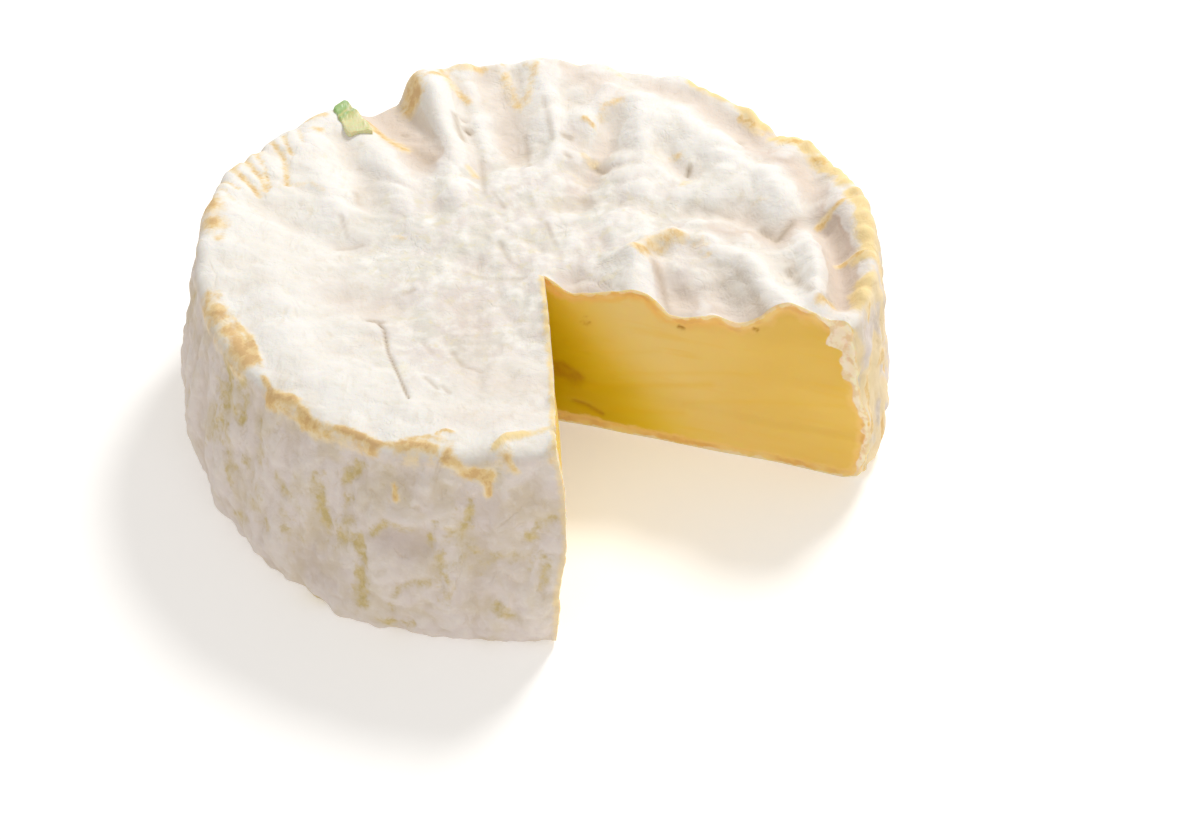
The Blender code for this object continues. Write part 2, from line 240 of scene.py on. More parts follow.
# Pinkish grey in hollows: partly the thin bloom's own tint, partly painted shade
STAIN_AND_SHADE_MARKS = (
    (((-24, 38), (-20, 30), (-17, 24)), 3.4, 1),
    (((-18.5, 26), (-16.6, 23.2)), 1.5, 1),
    (((-8, 47), (-9, 40)), 2.4, 0.5),
    (((-5, 41), (-4, 31)), 2.6, 0.6),
    (((4, 47), (11, 43), (12, 38)), 3, 0.6),
    (((6.5, 30), (7.5, 20), (5.5, 12)), 2, 0.4),
    (((20, 41), (27, 37), (33, 29)), 2.4, 0.7),
    (((34, 24), (41, 17), (43.5, 9)), 2.4, 0.9),
    (((27, 3), (34, 1.5), (36.5, -0.5), (39.5, 3)), 1.8, 0.8),
    (((44.5, 4), (45, -6), (44, -17)), 2.8, 1.2),
    (((21, -12), (24, -14), (29.5, -20)), 3.2, 0.8),
    (((17.5, -6), (18.6, -12)), 0.9, 0.9),
    (((5, -10), (8, -12.5)), 2.4, 0.8),
    (((-27, -12), (-24, -14)), 4, 0.4),
    (((-10, -14), (-9, -24)), 3.5, 0.35),
    (((-7.5, -30.5), (-2.5, -33.5)), 4, 0.35),
    (((-11, -40.5), (-3, -41)), 3, 0.3),
)

# Worn yellow patches of the wall, as azimuth in degrees and height: points, half width, strength
OLIVE_MARKS = (
    (((-124.8, 21.6), (-124.7, 17.7), (-122.2, 14), (-119.6, 14.1)), 1.2, 0.85),
    (((-118.6, 24.6), (-120.2, 22), (-119.2, 18), (-119.4, 15)), 1.2, 0.75),
    (((-117.1, 14.9), (-116.2, 10.2), (-116.3, 5)), 1.1, 0.95),
    (((-115, 16.7), (-112.8, 18.6), (-110.4, 18.1)), 0.9, 0.6),
    (((-105.7, 19.8), (-106.5, 16.2)), 0.6, 1),
    (((-104, 18.2), (-104.5, 13.3), (-104.3, 9.6)), 1.3, 0.75),
    (((-112, 3.4), (-111.7, 7), (-110.9, 9)), 0.7, 0.9),
    (((-110.7, 9.3), (-108.5, 10.6), (-106.7, 10.9)), 0.8, 0.85),
    (((-113.5, 2.6), (-109.5, 3)), 0.9, 0.7),
    (((-100.5, 22.5), (-101.2, 18.9)), 0.8, 0.8),
    (((-102, 17.2), (-98.5, 14.1)), 1.6, 0.65),
    (((-95, 15), (-92.5, 14.2)), 1.3, 0.7),
    (((-89.8, 19.8), (-92.3, 17.6)), 0.9, 0.75),
    (((-90.6, 15.2), (-90.3, 10.8)), 0.7, 0.75),
    (((-97, 8), (-95, 6)), 1.1, 0.7),
    (((-137.5, 11.3), (-134, 9.5)), 1.4, 0.55),
    (((-129.9, 10.3), (-131, 13.5)), 1.2, 0.6),
    (((-133.5, 18), (-130.5, 16.5)), 1.2, 0.5),
    (((-150, 26), (-148, 22), (-150, 17)), 2.6, 0.85),
    (((-144, 26.5), (-143, 22)), 1.8, 0.85),
    (((-141.5, 14.5), (-138.5, 16.5)), 1.5, 0.55),
    (((-147, 21), (-143.5, 12)), 1.4, 0.65),
    (((-138.5, 23), (-137, 17.5)), 1.1, 0.55),
    (((-140.8, 7.1), (-142.5, 5)), 1.3, 0.55),
    (((-127, 1.3), (-124.6, 0.9)), 1, 1),
)

# Ochre that runs down the wall from the rim, as azimuth in degrees and height
DROOP_MARKS = (
    (((-104.5, 28.2), (-101.3, 26.7), (-97.8, 25.7)), 0.9, 1),
    (((-98, 25.5), (-98.1, 23.4)), 0.6, 0.9),
    (((-95.2, 28), (-93.8, 26.2)), 0.5, 0.8),
    (((-112.3, 23.6), (-111.9, 22.2)), 0.5, 0.9),
)

# Smooth dented places of the wall, as azimuth in degrees and height; their darker colour is painted shade
DENT_AND_SHADE_MARKS = (
    (((-112.6, 16.8), (-110, 16.2), (-107.6, 16.4)), 2, 0.9),
    (((-126, 8), (-121, 7)), 3, 0.4),
    (((-100, 10), (-98, 21)), 2.2, 0.35),
)

# Fine creases and specks of the top, in plan; their dark brown is partly the rind's own and partly painted
# shade in them
CREASE_AND_SHADE_MARKS = (
    (((-23.2, -17.4), (-21.9, -20), (-21.1, -25), (-19.4, -30.5), (-17.8, -36)), 0.2, 1),
    (((-24.2, -17.4), (-22.4, -17.9)), 0.4, 0.9),
    (((-15.8, -31), (-14, -33.6)), 0.3, 0.6),
    (((-13.4, -33), (-12.4, -34.6)), 0.3, 0.5),
    (((-12.2, -24.5), (-10.8, -27.4)), 0.35, 0.5),
    (((-10.6, -27.6), (-8.2, -29.2)), 0.3, 0.45),
    (((-16.5, -22.5), (-15, -25)), 0.3, 0.4),
    (((-10.3, -5.6), (-7.5, -7.3), (-2, -7.9)), 0.5, 0.35),
    (((-30, 0.6), (-26, 1.8)), 0.3, 0.35),
    (((-29.5, 7), (-28.6, 3.5)), 0.35, 0.5),
    (((-12.8, 34.5), (-12.2, 31), (-11.4, 28.6)), 0.45, 0.8),
    (((-11, 31.6), (-10.4, 31.1)), 0.5, 1.1),
    (((-19.6, 27.4), (-18, 25.4), (-16.8, 23.4)), 1.1, 0.7),
    (((-11.6, 34.2), (-11.2, 33.8)), 0.4, 0.7),
    (((-21.4, 33.4), (-20.8, 32.8)), 0.4, 0.7),
    (((43, 2.4), (48.6, 5)), 0.5, 0.5),
    (((4.7, 28.8), (5.9, 28.2)), 0.5, 0.7),
    (((-8.6, 24), (-8, 14)), 0.4, 0.5),
    (((-1.4, 31), (-1, 22)), 0.4, 0.45),
    (((1.8, 38), (2.8, 28)), 0.4, 0.45),
    (((-6.6, 14), (-5, 10.5)), 0.35, 0.4),
    (((-5.5, 1), (-4, -4)), 0.4, 0.5),
    (((1.5, 6), (2.6, 1)), 0.4, 0.4),
    (((17.2, -5.5), (18.4, -10), (19, -15)), 0.5, 0.7),
    (((29, -9), (31, -15), (32, -20)), 0.45, 0.5),
    (((36.6, -9.5), (38.6, -18)), 0.45, 0.6),
    (((34.2, 3.4), (36.2, 0.6), (38.6, 3.2)), 0.6, 0.9),
    (((40, -19.6), (41.6, -18.8)), 0.7, 0.9),
    (((33.5, 27.5), (32.6, 24.5)), 0.5, 0.6),
    (((9.2, 23.4), (11, 21)), 0.8, 1),
    (((24.3, 19.4), (24, 18)), 0.45, 1),
    (((7.2, 13.4), (8.6, 11.6)), 1, 0.6),
    (((5, 23.9), (5.5, 23.5)), 0.5, 0.7),
    (((24, 10), (30, 7)), 0.5, 0.4),
    (((-27.8, 14.6), (-27.2, 12)), 0.6, 0.5),
    (((-19.6, -10.6), (-18.4, -10)), 0.5, 0.5),
)

# Worn bloom of the top: a patch left of the apex, then how worn the wheel's middle is
WORN_PATCH = ((-13.0, -20.0), 11.0, 1.2)
WORN_MIDDLE = 0.85

# Wrinkled rim and crusted wall: azimuth and half width in degrees
WRINKLED_RIM = (154.0, 20.0)
CRUSTED_WALL = (-22.0, 20.0)

# Wall with listed marks: azimuth, then degrees from it where other patches grow stronger
MARKED_WALL = (-122.0, 38.0, 46.0)

# Marks of the right cut face, as distance from the apex and height: points, half width, strength
# The pits are also painted dark red-brown as the shade inside them and under one's upper lip
CAVITY_AND_SHADE_MARKS = (
    (((0.8, 11.2), (2.8, 11.5), (4.4, 10.7), (5.6, 9.7)), 0.9, 0.6),
    (((0.8, 10.2), (3, 10), (4.6, 9.4)), 1.7, 0.6),
    (((4.4, 4.6), (6.5, 4.3), (9, 3.2)), 0.5, 0.6),
    (((6, 20.8), (6.6, 20.5), (7.2, 21)), 0.3, 0.5),
    (((6.2, 21.8), (6.9, 21.9)), 0.25, 0.35),
    (((20.8, 23.6), (21.5, 23.5)), 0.3, 0.8),
    (((32, 26), (32.5, 25.9)), 0.3, 0.7),
    (((48.2, 20.2), (48.9, 20)), 0.5, 0.9),
)
STREAK_MARKS = (
    (((7, 8.2), (15, 10.5), (26, 13.8)), 0.5, 0.9),
    (((10, 11.5), (20, 14.6), (33, 17.8)), 0.35, 0.5),
    (((5, 15), (12, 16.5), (18, 18.5)), 0.3, 0.35),
    (((22, 9), (34, 12.5), (46, 15)), 0.4, 0.5),
    (((9, 4.5), (22, 7)), 0.5, 0.6),
)
CHALK_WIDTHS = (1.3, 4.2)

# Scrap of green stalk
SCRAP_START = (-31.9, 38.2)
SCRAP_END = (-27.8, 29.8)
SCRAP_GROUND_RADIUS = 48.0
SCRAP_WIDTHS = (3.0, 4.2)
SCRAP_SKEWS = (-0.8, 0.5)
SCRAP_THICKNESS = 0.85
SCRAP_STATIONS = 36
SCRAP_SIDES = 24

# How green the stalk is along its length: share of the length, greenness
SCRAP_TONES = ((0.0, 1.1), (0.24, 0.95), (0.32, 0.35), (0.42, 0.75), (0.55, 0.2), (0.75, 0.0), (1.0, 0.3))

# Colours of the rind, as linear red, green and blue
BLOOM_WHITE = (0.90, 0.885, 0.845)
BLOOM_WARM = (0.865, 0.84, 0.785)
# Painted light of the bloom: a highlight on its ridges and shade in its hollows
BLOOM_RIDGE_HIGHLIGHT = (0.91, 0.89, 0.86)
BLOOM_HOLLOW_SHADE = (0.75, 0.665, 0.575)
STAIN_AND_SHADE_PINK = (0.69, 0.565, 0.475)
WALL_LILAC = (0.745, 0.66, 0.61)
WALL_KHAKI = (0.69, 0.595, 0.475)
CREAM_CRUST = (0.92, 0.715, 0.34)
PALE_OCHRE = (0.91, 0.74, 0.46)
GOLDEN_OCHRE = (0.83, 0.59, 0.24)
BROWN_OCHRE = (0.70, 0.43, 0.14)

# Colours of the paste; its deeper golden near the apex and the foot is painted shade of the notch
PASTE_INNER = (0.865, 0.69, 0.29)
PASTE_OUTER = (0.81, 0.54, 0.11)
PASTE_GOLDEN_SHADE = (0.80, 0.565, 0.025)
PASTE_DEEP_SHADE = (0.65, 0.44, 0.001)

# Lights that aim at the origin: place and width in metres, power in watts, colour
KEY_LIGHT = ((0.22, 0.34, 0.50), 0.16, 2.5, (1.0, 0.985, 0.96))
FILL_LIGHT = ((0.25, -0.72, 0.42), 0.6, 0.75, (1.0, 0.99, 0.97))
SKY_COLOUR = (1.0, 0.965, 0.93, 1.0)
SKY_STRENGTH = 0.57


def smooth_step(low, high, value):
    """0 below low, 1 above high, and a smooth rise between them."""
    share = np.clip((value - low) / (high - low), 0.0, 1.0)
    return share * share * (3 - 2 * share)


def bell(distance, half_width):
    return np.exp(-((distance / half_width) ** 2))


def turn_between(azimuth, other):
    """The angle from one azimuth to another, within half a turn."""
    return (azimuth - other + 180.0) % 360.0 - 180.0


def from_apex(x, y, azimuth):
    """How far points lie from the apex of the notch, measured along an azimuth."""
    turn = math.radians(azimuth)
    return (x - APEX[0]) * math.cos(turn) + (y - APEX[1]) * math.sin(turn)


def folded(x, y):
    """0 at the smooth left of the top and 1 at its folded right."""
    return smooth_step(*FOLDED_SIDE, x + 0.35 * y)


def noise_at(x, y, z, size):
    """Smooth noise of about -1 to 1, with features of one size, at each point."""
    spots = np.stack(np.broadcast_arrays(x / size, y / size, z / size), -1)
    values = [noise.noise(spot) for spot in spots.reshape(-1, 3).tolist()]
    return np.array(values).reshape(spots.shape[:-1])


def billow(x, y, z, size):
    """Rounded lobes with creases between them, from about 0 to 1."""
    return np.abs(noise_at(x, y, z, size)) * 1.6 + np.abs(noise_at(x, y, z, size / 2.1)) * 0.7


def line_distance(x, y, points):
    """Distance in plan from each place to a line of straight stretches."""
    nearest = np.full(np.shape(x), 1e9)
    for (ax, ay), (bx, by) in zip(points, points[1:]):
        along = (bx - ax, by - ay)
        share = ((x - ax) * along[0] + (y - ay) * along[1]) / (along[0] ** 2 + along[1] ** 2)
        share = np.clip(share, 0.0, 1.0)
        away = np.hypot(x - ax - share * along[0], y - ay - share * along[1])
        nearest = np.minimum(nearest, away)
    return nearest


def marked(x, y, marks):
    """How strongly a list of marks covers each place, from 0 to about 1."""
    cover = np.zeros(np.shape(x))
    for points, half_width, strength in marks:
        cover = np.maximum(cover, strength * bell(line_distance(x, y, points), half_width * 1.2))
    return cover


def under_mean(rise, steps):
    """How far each point lies below the mean of the points round it on the grid."""
    mean = rise
    for axis in (0, 1):
        last = rise.shape[axis] - 1
        shifted = [np.clip(np.arange(last + 1) + step, 0, last) for step in range(-steps, steps + 1)]
        mean = sum(mean.take(places, axis) for places in shifted) / len(shifted)
    return mean - rise


def ray_noise(x, y, size):
    """Noise drawn out along the radius, which gives streaks that run in from the rim."""
    turn = np.arctan2(y, x)
    return noise_at(32 * np.cos(turn), 32 * np.sin(turn), np.hypot(x, y) * 0.2, size)


def on_arc(marks):
    """Marks of the wall, with their azimuths turned into millimetres round the wall."""
    turned = []
    for points, half_width, strength in marks:
        ends = tuple((math.radians(azimuth) * WALL_RADIUS, height) for azimuth, height in points)
        turned.append((ends, half_width, strength))
    return turned


def gully(x, y):
    """Depth of the gully: a gentle left bank, a narrow floor and a steep right bank."""
    along = (GULLY_END[0] - GULLY_MOUTH[0], GULLY_END[1] - GULLY_MOUTH[1])
    length = math.hypot(*along)
    share = ((x - GULLY_MOUTH[0]) * along[0] + (y - GULLY_MOUTH[1]) * along[1]) / length**2
    side = (-(x - GULLY_MOUTH[0]) * along[1] + (y - GULLY_MOUTH[1]) * along[0]) / length
    bank = np.where(side < 0, GULLY_BANKS[0], GULLY_BANKS[1])
    fade = 1 - smooth_step(0.1, 1.15, share)
    beyond = np.maximum(0.0, np.abs(side) - GULLY_FLOOR * fade)
    return GULLY_DEPTH * bell(beyond, bank) * fade


def top_relief(x, y):
    """How far the top stands over the plain turned wheel."""
    radius = np.hypot(x, y)
    azimuth = np.degrees(np.arctan2(y, x))
    swell = sum(high * bell(turn_between(azimuth, mid), wide) for mid, wide, high in RIM_SWELLS)
    lift = swell * smooth_step(36.0, 48.5, radius)
    for points, width, height in TOP_FOLDS:
        lift = lift + height * bell(line_distance(x, y, points), width)
    rough = 0.35 + 0.65 * folded(x, y)
    lift += LUMP_HEIGHT * rough * (billow(x, y, 4.0, LUMP_SIZE) - 0.45)
    return lift - gully(x, y)


def wall_relief(azimuth, z):
    """How far the wall stands out from the plain turned wheel."""
    turn = np.radians(azimuth)
    x = np.cos(turn) * WALL_RADIUS
    y = np.sin(turn) * WALL_RADIUS
    waves = WALL_WAVE_DEPTH * (billow(x + 7.0, y + 3.0, z * 0.45, WALL_WAVE_SIZE) - 0.45)
    foot = FOOT_RAGGED * noise_at(x, y, z * 0.45, 3.5) * (1 - smooth_step(0.0, 5.0, z))
    low = 1 - smooth_step(0.0, 20.0, z)
    swell = 0.0
    for middle, width, at_middle, at_foot in WALL_SWELLS:
        out = at_middle * (1 - smooth_step(18.0, 28.0, z)) * (1 - low) + at_foot * low
        swell = swell + out * bell(turn_between(azimuth, middle), width)
    return waves + foot + swell


def wrinkled_rim(x, y):
    """Where the rim is drawn into short wrinkles, from 0 to 1."""
    middle, half_width = WRINKLED_RIM
    azimuth = np.degrees(np.arctan2(y, x))
    return bell(turn_between(azimuth, middle), half_width) * smooth_step(37.0, 44.0, np.hypot(x, y))


def fine_top(x, y, ochre, cream, ribs):
    """Small relief of the top: puckers, streaks, a fibrous middle, rim wrinkles and crust."""
    radius = np.hypot(x, y)
    azimuth = np.degrees(np.arctan2(y, x))
    rough = 0.65 + 0.35 * folded(x, y)
    outer = smooth_step(12.0, 34.0, radius)
    puckers = 0.6 * (np.abs(noise_at(x, y, 9.0, 6.5)) - 0.25) * rough
    streaks = 0.3 * ray_noise(x, y, 2.4) * outer + 0.25 * noise_at(x, y * 0.35, 2.0, 1.6) * (1 - outer)
    crumple = 0.24 * (np.abs(noise_at(x, y, 5.0, 2.6)) - 0.25) * rough
    wrinkles = 0.5 * (np.abs(ray_noise(x, y, 2.0)) - 0.25) * wrinkled_rim(x, y) - 0.6 * ribs
    crust = 0.25 * ochre + cream * (0.2 + 1.3 * np.abs(noise_at(x, y, 3.0, 3.4)))
    for middle, half_width, depth in CRUST_CREASES:
        crust = crust - depth * cream * bell(turn_between(azimuth, middle), half_width)
    return puckers + streaks + crumple + wrinkles + crust


def fine_wall(azimuth, z, olive):
    """Small relief of the wall: wrinkles, pits where the bloom has gone, and a ragged foot."""
    turn = np.radians(azimuth)
    x = np.cos(turn) * WALL_RADIUS
    y = np.sin(turn) * WALL_RADIUS
    wrinkles = 0.6 * (np.abs(noise_at(x, y, z * 0.7, 5.2)) - 0.25)
    creases = 0.55 * (np.abs(noise_at(x, y, z * 0.8, 2.4)) - 0.25)
    grain = 0.16 * noise_at(x, y, z, 1.3)
    foot = 0.9 * noise_at(x, y, 1.0, 2.4) * (1 - smooth_step(0.0, 2.5, z))
    return wrinkles + creases + grain + foot - 0.3 * olive


def profile():
    """Rim corner and wall of the plain wheel as radii and heights, from the crest down to the foot."""
    corner_radius = RIM_RADIUS - RIM_ROUND
    corner_height = RIM_HEIGHT - RIM_ROUND
    turn = np.radians(np.linspace(90.0, 0.0, CORNER_RINGS + 1))
    radii = list(corner_radius + RIM_ROUND * np.cos(turn))
    heights = list(corner_height + RIM_ROUND * np.sin(turn))
    for z in np.linspace(corner_height, 0.8, WALL_RINGS + 1)[1:]:
        over = max(0.0, z - BULGE_HEIGHT) / (corner_height - BULGE_HEIGHT)
        under = max(0.0, BULGE_HEIGHT - z) / BULGE_HEIGHT
        lean_in = (WALL_RADIUS - RIM_RADIUS) * over**1.6
        radii.append(WALL_RADIUS - lean_in - (WALL_RADIUS - FOOT_RADIUS) * under**3)
        heights.append(z)
    return np.array(radii + [FOOT_RADIUS - 1.4]), np.array(heights + [0.0])


def reach(direction_x, direction_y, radius):
    """How far a ray from the apex runs before it meets a circle about the wheel's axis."""
    along = APEX[0] * direction_x + APEX[1] * direction_y
    return -along + np.sqrt(along**2 + radius**2 - APEX[0] ** 2 - APEX[1] ** 2)


def knife_bend(along, z):
    """How far a cut face leans into the gap: a bulge at mid height, a tuck at the foot, a low ledge."""
    share = np.clip(along / WALL_RADIUS, 0.0, 1.0)
    bulge = CUT_BULGE * bell(z - CUT_BULGE_HEIGHT, 9.0)
    tuck = CUT_TUCK * bell(z + 2.0, 8.0)
    ledge = PASTE_LEDGE * (1 - smooth_step(PASTE_LEDGE_HEIGHT - 1, PASTE_LEDGE_HEIGHT + 1, z))
    ripple = 0.5 * noise_at(along * 0.5, z, 14.0, 7.0)
    return ((bulge - tuck) * (0.35 + 0.65 * share) + ledge + ripple) * smooth_step(0.0, 8.0, along)


def lean_at_cuts(x, y, z):
    """Bends every point near a cut with the cut face, and returns the moved x and y."""
    for azimuth, outward in (LEFT_CUT, RIGHT_CUT):
        face = math.radians(azimuth + outward)
        lean = knife_bend(from_apex(x, y, azimuth), z) * bell(from_apex(x, y, azimuth + outward), 3.5)
        x = x + math.cos(face) * lean
        y = y + math.sin(face) * lean
    return x, y


def new_mesh(name, points, faces):
    mesh = bpy.data.meshes.new(name)
    mesh.from_pydata((np.asarray(points) * MM).tolist(), [], faces)
    mesh.validate()
    return mesh


def add_piece(name, mesh):
    obj = bpy.data.objects.new(name, mesh)
    bpy.context.scene.collection.objects.link(obj)
    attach(obj, "root")
    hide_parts("camembert")
    return obj


def give(mesh, name, values):
    """Stores one number a point for the materials."""
    layer = mesh.attributes.new(name, "FLOAT", "POINT")
    layer.data.foreach_set("value", np.asarray(values, dtype=np.float32))


def cheese_mesh():
    """The closed body of the cheese, with its marks as attributes."""
    turns = np.radians(np.linspace(RIGHT_CUT[0], LEFT_CUT[0] + 360.0, COLUMNS + 1))
    dir_x, dir_y = np.cos(turns), np.sin(turns)
    radii, heights = profile()
    crest = reach(dir_x, dir_y, radii[0])
    shares = np.arange(1, TOP_RINGS + 1) / TOP_RINGS
    ring_x = [APEX[0] + dir_x * crest * share for share in shares]
    ring_y = [APEX[1] + dir_y * crest * share for share in shares]
    ring_z = []
    for x, y in zip(ring_x, ring_y):
        dish = smooth_step(20.0, 46.0, np.hypot(x, y))
        ring_z.append(CENTRE_HEIGHT + (RIM_HEIGHT - CENTRE_HEIGHT) * dish)
    for radius, height in zip(radii[1:], heights[1:]):
        out = reach(dir_x, dir_y, radius)
        ring_x.append(APEX[0] + dir_x * out)
        ring_y.append(APEX[1] + dir_y * out)
        ring_z.append(np.full(COLUMNS + 1, height))
    x, y, z = np.array(ring_x), np.array(ring_y), np.array(ring_z)
    x, y, z, marks = shape_rind(x, y, z)
    return stitch(x, y, z, marks)


def rim_ochre(x, y, ribs):
    """Ochre of the top and the rim, which comes and goes along rays."""
    rays = ray_noise(x, y, 2.0)
    ochre = marked(x, y, OCHRE_MARKS) * np.clip(0.95 + 0.7 * rays, 0.5, 1.15)
    thin_line = bell(np.hypot(x, y) - OCHRE_LINE_RADIUS, 2.0) * smooth_step(-0.05, 0.4, rays)
    return np.maximum.reduce([ochre, 0.5 * thin_line, 0.8 * ribs])


def cream_crust(x, y, z, plan_x, plan_y, side):
    """Cream crust in clumps on the rim and down the crusted wall, and a line of it at the left cut."""
    clumps = noise_at(x, y, z * 0.5, 3.4)
    rim = marked(plan_x, plan_y, CREAM_MARKS) * smooth_step(23.0, 27.0, z)
    rim = rim * np.clip(1.0 + 1.3 * clumps, 0.35, 1.2)
    down = side * np.clip(0.7 + 1.4 * clumps, 0.2, 1.1)
    line = 0.7 * bell(from_apex(x, y, sum(LEFT_CUT)), 0.9) * (y < APEX[1])
    return np.maximum.reduce([rim, down, line])


def worn_wall(x, y, z, azimuth, arc):
    """Worn yellow of the wall: its marks, and patches that are stronger where it has none."""
    middle, near, far = MARKED_WALL
    unmarked = smooth_step(near, far, np.abs(turn_between(azimuth, middle)))
    patches = smooth_step(0.12, 0.4, noise_at(x, y, z * 0.5, 5.0)) * (0.3 + 0.35 * unmarked)
    return np.maximum(marked(arc, z, on_arc(OLIVE_MARKS)), patches)


def worn_bloom(x, y):
    """Where the bloom of the top is worn: in one patch and round the middle."""
    (patch_x, patch_y), half_width, strength = WORN_PATCH
    patch = strength * bell(np.hypot(x - patch_x, y - patch_y), half_width)
    return np.maximum(patch, WORN_MIDDLE * (1 - smooth_step(16.0, 40.0, np.hypot(x, y))))


def rind_marks(x, y, z, radius, azimuth, plan_x, plan_y):
    """Cover of each kind of mark on the plain rind, from 0 to 1."""
    near_top = smooth_step(*TOP_MARKS_FADE, z)
    outer = smooth_step(RIM_RADIUS - 4.0, RIM_RADIUS - 1.8, radius)
    wall = outer * (1 - smooth_step(*WALL_COLOUR_FADE, z))
    low_wall = wall * outer
    arc = np.radians(azimuth) * WALL_RADIUS
    side = bell(turn_between(azimuth, CRUSTED_WALL[0]), CRUSTED_WALL[1]) * low_wall
    ribs = marked(plan_x, plan_y, RIB_MARKS) * near_top
    droops = marked(arc, z, on_arc(DROOP_MARKS)) * outer
    side_ochre = 0.8 * side * smooth_step(0.15, 0.45, noise_at(x, y, z * 0.4, 2.8))
    # Pinkish grey of thin bloom and painted shade in the marked hollows, then painted shade in every deep
    # hollow of the relief
    stain_and_shade = marked(plan_x, plan_y, STAIN_AND_SHADE_MARKS) * near_top
    hollow_shade = smooth_step(-0.3, -2.6, top_relief(plan_x, plan_y)) * near_top
    # The dented places of the wall, which also carry painted shade
    dents_and_shade = marked(arc, z, on_arc(DENT_AND_SHADE_MARKS)) * low_wall
    return {
        "ochre": np.maximum.reduce([rim_ochre(plan_x, plan_y, ribs) * near_top, droops, side_ochre]),
        "cream": cream_crust(x, y, z, plan_x, plan_y, side),
        "stain_and_shade": np.maximum.reduce([stain_and_shade, 0.85 * hollow_shade, dents_and_shade]),
        "olive": worn_wall(x, y, z, azimuth, arc) * low_wall * (1 - side),
        "wall": wall,
        "ribs": ribs,
        "worn": worn_bloom(plan_x, plan_y) * near_top,
        "dent_and_shade": dents_and_shade,
        "crease_and_shade": marked(plan_x, plan_y, CREASE_AND_SHADE_MARKS) * near_top,
    }


def shape_rind(x, y, z):
    """Moves the rind's rings by the relief, and returns them with the marks."""
    radius = np.hypot(x, y)
    azimuth = np.degrees(np.arctan2(y, x))
    inner = np.minimum(1.0, (RIM_RADIUS - 0.5) / radius)
    plan_x, plan_y = x * inner, y * inner
    on_top = smooth_step(*TOP_FOLDS_FADE, z)
    near_top = smooth_step(*TOP_FINE_FADE, z)
    marks = rind_marks(x, y, z, radius, azimuth, plan_x, plan_y)
    on_wall = 1 - smooth_step(*WALL_FINE_FADE, z)
    z = z + top_relief(plan_x, plan_y) * on_top
    at_side = smooth_step(RIM_RADIUS - 6.0, RIM_RADIUS + 1.0, radius)
    out = wall_relief(azimuth, z) * at_side - marks["dent_and_shade"]
    out = out + fine_wall(azimuth, z, marks["olive"]) * at_side * on_wall * (1 - 0.6 * marks["dent_and_shade"])
    x = x * (radius + out) / radius
    y = y * (radius + out) / radius
    fine = fine_top(plan_x, plan_y, marks["ochre"], marks["cream"], marks["ribs"]) - 0.35 * marks["crease_and_shade"]
    rise = out + fine * near_top + top_relief(plan_x, plan_y) * near_top
    # How far each point lies below its neighbours, from which the materials paint shade in hollows and a
    # highlight on ridges
    marks["sunk_shading"] = under_mean(rise, 3) * 0.7 + under_mean(rise, 9) * 0.8
    z = np.maximum(0.0, z + fine * near_top)
    x, y = lean_at_cuts(x, y, z)
    return x, y, z, marks


def quads_of(grid, flip=False):
    """A quad for each cell of a grid of point numbers."""
    corners = (grid[:-1, :-1], grid[1:, :-1], grid[1:, 1:], grid[:-1, 1:])
    quads = np.stack(corners, -1).reshape(-1, 4)
    return [tuple(quad) for quad in (quads[:, ::-1] if flip else quads).tolist()]


def base_face(apex, outlines, foot):
    """One polygon: out along the foot of one cut, round the wall and back along the other cut."""
    loop = [apex] + list(outlines[0][:-1]) + foot + list(outlines[1][:-1][::-1])
    return tuple(int(index) for index in loop[::-1])


def stitch(x, y, z, marks):
    """Joins the rings, both cut faces and the base into one closed mesh."""
    rings, columns = x.shape
    top_apex = rings * columns
    # The apex line starts at the first ring's mean height and is spaced like the wall
    edge_z = float(z[0].mean()) * z[TOP_RINGS - 1:, 0] / z[TOP_RINGS - 1, 0]
    edge = top_apex + np.arange(len(edge_z))
    count = top_apex + len(edge_z)
    points = [np.stack((x, y, z), -1).reshape(-1, 3)]
    points.append(np.stack(np.broadcast_arrays(APEX[0], APEX[1], edge_z), -1))
    layers = {name: [values.ravel(), np.zeros(len(edge_z))] for name, values in marks.items()}
    # Its foot takes the wall's colour
    layers["wall"][1][-1] = 1.0
    faces = [(top_apex, column, column + 1) for column in range(columns - 1)]
    faces += quads_of(np.arange(top_apex).reshape(rings, columns))
    rind_faces = len(faces)
    inside = {name: [np.zeros(count)] for name in ("depth", "along", "chalk", "cavity_and_shade", "streak")}
    inside["depth"][0][top_apex:] = np.minimum(edge_z, edge_z[0] - edge_z)
    outlines = []
    for column in (0, columns - 1):
        rind_line = (x[:, column], y[:, column], z[:, column])
        grid, fresh, found = cut_grid(*rind_line, column, columns, count, edge_z[0])
        points.append(fresh)
        for name, values in found.items():
            inside[name].append(values.ravel())
        for name, values in layers.items():
            values.append(np.full(len(fresh), 1.0 if name == "wall" else 0.0))
        grid[0, :] = edge
        faces += quads_of(grid, column == 0)
        outlines.append(grid[1:, -1])
        count += len(fresh)
    faces.append(base_face(edge[-1], outlines, list(range(top_apex - columns, top_apex))))
    mesh = new_mesh("camembert_body", np.concatenate(points), faces)
    for name, values in list(layers.items()) + list(inside.items()):
        give(mesh, name, np.concatenate(values))
    slots = np.zeros(len(mesh.polygons), dtype=np.int32)
    slots[rind_faces:-1] = 1
    mesh.polygons.foreach_set("material_index", slots)
    return mesh


